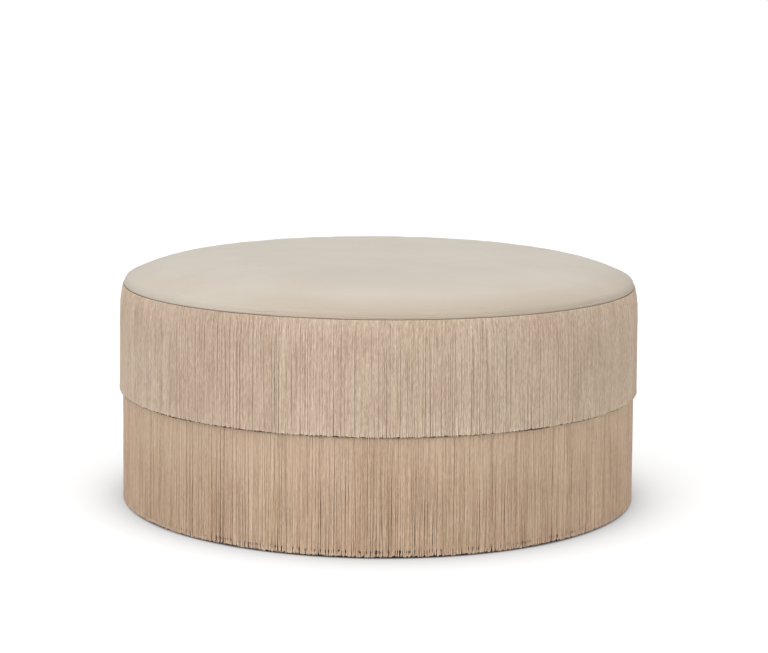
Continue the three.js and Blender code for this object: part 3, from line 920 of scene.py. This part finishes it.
foam_low, foam_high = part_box("seat_foam")
foam_edge = foam_high.x
foam_steps, foam_cut = 96, 0.003
foam_outline = [(0.0, foam_low.z), (foam_edge - foam_cut, foam_low.z), (foam_edge, foam_low.z + foam_cut)]
foam_outline += crown(seat_edge - foam_edge)[::-1]
seat_foam = turned("seat_foam_slab", foam_outline, foam_steps, closed=False)
dress(seat_foam, cream_foam)
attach(seat_foam, "root")
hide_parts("seat_foam")

wadding_low, wadding_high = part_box("seat_wadding")
wadding_thickness = 0.006
wadding_inset = seat_edge - wadding_high.x
wadding_outline = crown(wadding_inset + wadding_thickness)
wadding_outline += [(wadding_high.x - wadding_thickness, wadding_low.z), (wadding_high.x, wadding_low.z)]
wadding_outline += crown(wadding_inset)[::-1]
seat_wadding = turned("seat_fibre_wadding", wadding_outline, foam_steps, closed=False)
dress(seat_wadding, fibre_finish())
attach(seat_wadding, "root")
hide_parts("seat_wadding")

# Seat cover: one round of short-pile velvet drawn over the wadding. Its edge rolls under in a small
# lip at the seam and is turned down behind the header, where it is stapled to the deck.

velvet_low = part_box("top_cover")[0]
velvet_thickness, seam_roll = 0.0016, 0.0025
middle_radius = 0.3
seam_way = seat_edge - seam_height


def velvet_outline():
    """The outside of the cover, from the edge of its middle to the turned-down edge."""
    groove_height, groove_depth, groove_width = 0.0052, 0.0003, 0.0014
    lip = [(0.0, 0.0009), (0.0005, 0.0001), (0.0014, -0.0002), (seam_roll, -0.0009)]
    line = []
    for radius, height in crown(0.0, inner=middle_radius, rings=28, roll_rings=12)[:-1]:
        above_seam = height - seam_height
        dent = groove_depth * math.exp(-(((above_seam - groove_height) / groove_width) ** 2))
        line.append((radius - dent, height))
    line += [(seat_edge - inwards, seam_height + above) for inwards, above in lip]
    return [*line, (seat_edge - seam_roll, velvet_low.z)]


def cut_velvet(steps):
    """The cover before it is drawn down: its outer rings turned, and its middle filled as a grid."""
    near = 0.0005
    cover = turned("velvet_seat_cover", velvet_outline(), steps, closed=False)
    select_by(cover, "VERT", lambda point: math.hypot(point.co.x, point.co.y) < middle_radius + near)
    bpy.ops.mesh.select_mode(type="EDGE")
    bpy.ops.mesh.fill_grid(span=steps // 4)
    bpy.ops.mesh.select_all(action="SELECT")
    bpy.ops.mesh.normals_make_consistent(inside=False)
    bpy.ops.object.mode_set(mode="OBJECT")
    for point in cover.data.vertices:
        radius = math.hypot(point.co.x, point.co.y)
        if radius < middle_radius - near:
            point.co.z = crown_height(radius, 0.0)
    return cover


def settled_places(cover, moments=20):
    """Where the points lie once the cloth has settled, with the cloth taken off again."""
    cloth = cover.modifiers.new("draw", "CLOTH")
    cloth.settings.vertex_group_mass = "held"
    cloth.settings.use_pressure = True
    cloth.settings.uniform_pressure_force = 4
    cloth.settings.vertex_group_shrink = "taut"
    cloth.settings.shrink_min = -0.012
    cloth.settings.shrink_max = 0.004
    cloth.settings.mass = 0.35
    cloth.settings.bending_stiffness = 0.8
    cloth.settings.effector_weights.gravity = 0
    for moment in range(1, moments + 1):
        bpy.context.scene.frame_set(moment)
    view = bpy.context.evaluated_depsgraph_get()
    settled = np.array([point.co for point in cover.evaluated_get(view).data.vertices])
    cover.modifiers.remove(cloth)
    cover.vertex_groups.clear()
    bpy.context.scene.frame_set(1)
    return settled


def drawn_down(cover, share, cap, seed):
    """Lets the cloth settle under pressure, held at the seam, and keeps how unevenly it drew."""
    slack_width, held_height, free_height = 0.09, 0.0015, 0.006
    ripple, bands, sideways = 0.0002, 24, 0.3
    rng = np.random.default_rng(seed)
    start = np.array([point.co for point in cover.data.vertices])
    out = np.hypot(start[:, 0], start[:, 1])
    held = cover.vertex_groups.new(name="held")
    taut = cover.vertex_groups.new(name="taut")
    for point in cover.data.vertices:
        inward = (seat_edge - math.hypot(point.co.x, point.co.y)) / slack_width
        taut.add([point.index], min(max(inward, 0), 1), "REPLACE")
        point.co.z += ripple * float(rng.normal())
        if point.co.z < seam_height + held_height:
            held.add([point.index], 1, "REPLACE")
    moved = settled_places(cover) - start
    band = (out / seat_edge * bands).astype(int).clip(0, bands - 1)
    risen = [moved[band == ring, 2].mean() for ring in range(bands)]
    moved[:, 2] -= np.interp(out, (np.arange(bands) + 0.5) * seat_edge / bands, risen)
    moved[:, :2] *= sideways
    far = np.linalg.norm(moved, axis=1)
    free = ((start[:, 2] - seam_height - held_height) / free_height).clip(0, 1)
    kept = moved * (share * free * np.minimum(1, cap / np.maximum(far, 1e-9)))[:, None]
    for point, place in zip(cover.data.vertices, start + kept):
        point.co = place


def from_axis(finish):
    """How far a point lies from the upright axis."""
    flat = {0: object_place(finish, (1, 1, 0))}
    return step(finish, "ShaderNodeVectorMath", flat, operation="LENGTH").outputs["Value"]


def way_out(finish):
    """How far out and down a point lies on the seat, which grows steadily from the axis to the seam."""
    return sum_of(finish, "SUBTRACT", from_axis(finish), place_along(finish, 2))


def pucker_height(finish, along):
    """Faint folds that run round just above the seam, where the cloth is drawn in, in patches."""
    fold_pitch, first_fold, last_fold, wavering = 0.005, 0.045, 0.015, 0.012
    waver = sum_of(finish, "MULTIPLY", noise(finish, object_place(finish), 9, 2), wavering)
    turn = sum_of(finish, "MULTIPLY", sum_of(finish, "ADD", along, waver), 2 * math.pi / fold_pitch)
    fold = spread_to(finish, sum_of(finish, "SINE", turn), -1, 1)
    near_seam = spread_to(finish, along, seam_way - first_fold, seam_way - last_fold)
    patch = spread_to(finish, noise(finish, object_place(finish, (1, 1, 3)), 7, 2), 0.42, 0.6)
    return sum_of(finish, "MULTIPLY", fold, sum_of(finish, "MULTIPLY", near_seam, patch))


def painted_roll_shade(finish, along):
    """Painted shade on the velvet towards the seam, from 0 to 1, deepest on the roll. It is least at the
    left, where the light falls, and less at the right.
    """
    first_shade, full_shade, deepest = 0.09, 0.02, 0.8
    at_left, at_right = (-0.32, -0.1, 0.05, 1), (0.3, 0.42, 1, 0.55)
    side = place_along(finish, 0)
    shade = spread_to(finish, along, seam_way - first_shade, seam_way - full_shade, 0, deepest)
    shade = sum_of(finish, "MULTIPLY", shade, spread_to(finish, side, *at_left))
    return sum_of(finish, "MULTIPLY", shade, spread_to(finish, side, *at_right))


def velvet_finish():
    """Short-pile velvet: a fine nap brushed in soft patches that catch the light differently, with painted
    shade on the roll towards the seam.
    """
    fold_depth, pile_depth = 0.0005, 0.0003
    brushed_dark, brushed_pale = seen_as(202, 192, 178), seen_as(208, 199, 186)
    marked, deep_pile, painted_shade = seen_as(199, 188, 171), seen_as(190, 179, 163), seen_as(186, 170, 150)
    finish, shader = new_finish("oatmeal_velvet", 0.78)
    shader.inputs["Sheen Weight"].default_value = 0.25
    shader.inputs["Sheen Roughness"].default_value = 0.35
    brushed = spread_to(finish, noise(finish, object_place(finish, (1, 1.6, 1)), 5, 4), 0.35, 0.65)
    marks = spread_to(finish, noise(finish, object_place(finish, (1, 2.4, 1)), 22, 3), 0.3, 0.7, 0, 0.25)
    pile = noise(finish, object_place(finish), 1400, 2)
    broad = between(finish, brushed, brushed_dark, brushed_pale)
    fine = between(finish, marks, broad, marked)
    napped = between(finish, spread_to(finish, pile, 0.3, 0.7, 0, 0.12), fine, deep_pile)
    along = way_out(finish)
    # Painted shade darkens the velvet towards the seam, on its roll.
    colour_with(finish, shader, between(finish, painted_roll_shade(finish, along), napped, painted_shade))
    folds = step(finish, "ShaderNodeBump", {"Height": pucker_height(finish, along), "Distance": fold_depth})
    piled = {"Height": pile, "Distance": pile_depth, "Normal": folds.outputs[0]}
    normal = step(finish, "ShaderNodeBump", piled).outputs[0]
    finish.node_tree.links.new(normal, shader.inputs["Normal"])
    return finish


velvet_steps = 216
seat_cover = cut_velvet(velvet_steps)
drawn_down(seat_cover, share=0.3, cap=0.002, seed=31)
dress(seat_cover, velvet_finish())
applied(seat_cover, "SUBSURF", levels=1, render_levels=1)
applied(seat_cover, "SOLIDIFY", thickness=velvet_thickness, offset=-1)
settle(seat_cover, "velvet_seat_cover", angle=60)
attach(seat_cover, "root")
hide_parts("top_cover")

# Camera: a long lens on a stand 3.7 m off, a little above the seat. It is tilted down by 9 degrees and
# turned half a degree off level.

camera_place = (0.0100, -3.740, 0.921)
tilt_down, roll = math.radians(9.042), math.radians(0.485)
camera_data = bpy.data.cameras.new("camera")
camera_data.lens = 91.41
camera_data.clip_end = 100
camera = bpy.data.objects.new("camera", camera_data)
bpy.context.scene.collection.objects.link(camera)
aim = Matrix.Rotation(math.radians(90) - tilt_down, 4, "X") @ Matrix.Rotation(roll, 4, "Z")
camera.matrix_world = Matrix.Translation(camera_place) @ aim
bpy.context.scene.camera = camera

# Studio: a floor that shows as white, keeps part of the object's real soft shadow and has a painted soft
# shadow round its foot, an even white world, and three broad soft lamps, one nearly overhead and a low one
# on each side of the front.


def studio_floor(shade, lift, painted_shadow_dip):
    """A floor that shows as white, with a painted soft shadow: its glow fades towards the object's foot and
    goes out under it.
    """
    foot, reach, floor_width, dark_edge, lit_edge = 0.495, 0.05, 40, 0.489, 0.497
    bpy.ops.object.select_all(action="DESELECT")
    bpy.ops.mesh.primitive_plane_add(size=floor_width)
    floor = bpy.context.object
    floor.name = "studio_floor"
    finish, shader = new_finish("white_floor", 0.9)
    shader.inputs["Base Color"].default_value = shade
    shader.inputs["Specular IOR Level"].default_value = 0
    shader.inputs["Emission Color"].default_value = (1, 1, 1, 1)
    out = from_axis(finish)
    # Painted shadow: the glow dips near the foot and goes out under the object.
    away = sum_of(finish, "MAXIMUM", sum_of(finish, "SUBTRACT", out, foot), 0)
    painted_shadow_fade = sum_of(finish, "EXPONENT", sum_of(finish, "DIVIDE", away, -reach))
    level = sum_of(finish, "SUBTRACT", lift, sum_of(finish, "MULTIPLY", painted_shadow_fade, painted_shadow_dip))
    level = sum_of(finish, "MULTIPLY", level, spread_to(finish, out, dark_edge, lit_edge))
    sight = step(finish, "ShaderNodeLightPath", {})
    seen = sum_of(finish, "MAXIMUM", sight.outputs["Is Camera Ray"], sight.outputs["Is Glossy Ray"])
    seen = sum_of(finish, "MAXIMUM", seen, sight.outputs["Is Transmission Ray"])
    glow = sum_of(finish, "MULTIPLY", seen, level)
    finish.node_tree.links.new(glow, shader.inputs["Emission Strength"])
    dress(floor, finish)


def white_world(strength):
    """Even light of one strength, which the camera sees as pure white, also through glass."""
    world = bpy.data.worlds.new("studio")
    bpy.context.scene.world = world
    world.use_nodes = True
    background = world.node_tree.nodes["Background"]
    background.inputs["Color"].default_value = (1, 1, 1, 1)
    sight = step(world, "ShaderNodeLightPath", {})
    seen = sum_of(world, "MAXIMUM", sight.outputs["Is Camera Ray"], sight.outputs["Is Transmission Ray"])
    world.node_tree.links.new(spread_to(world, seen, 0, 1, strength, 1), background.inputs["Strength"])


def soft_sun(name, strength, spread, height, aside):
    """A broad, even light from a height above the floor and an angle from the front, in degrees."""
    data = bpy.data.lights.new(name, "SUN")
    data.energy = strength
    data.angle = math.radians(spread)
    lamp = bpy.data.objects.new(name, data)
    bpy.context.scene.collection.objects.link(lamp)
    tip_up = Matrix.Rotation(math.radians(90 - height), 4, "X")
    lamp.matrix_world = Matrix.Rotation(math.radians(aside), 4, "Z") @ tip_up


studio_floor(seen_as(160, 160, 160), lift=0.72, painted_shadow_dip=0.36)
white_world(strength=0.3)
soft_sun("key_light", strength=1.42, spread=50, height=80, aside=-40)
soft_sun("left_light", strength=1.6, spread=50, height=15, aside=-49)
soft_sun("right_light", strength=1.47, spread=50, height=15, aside=44)

bpy.context.scene.view_settings.view_transform = "Standard"
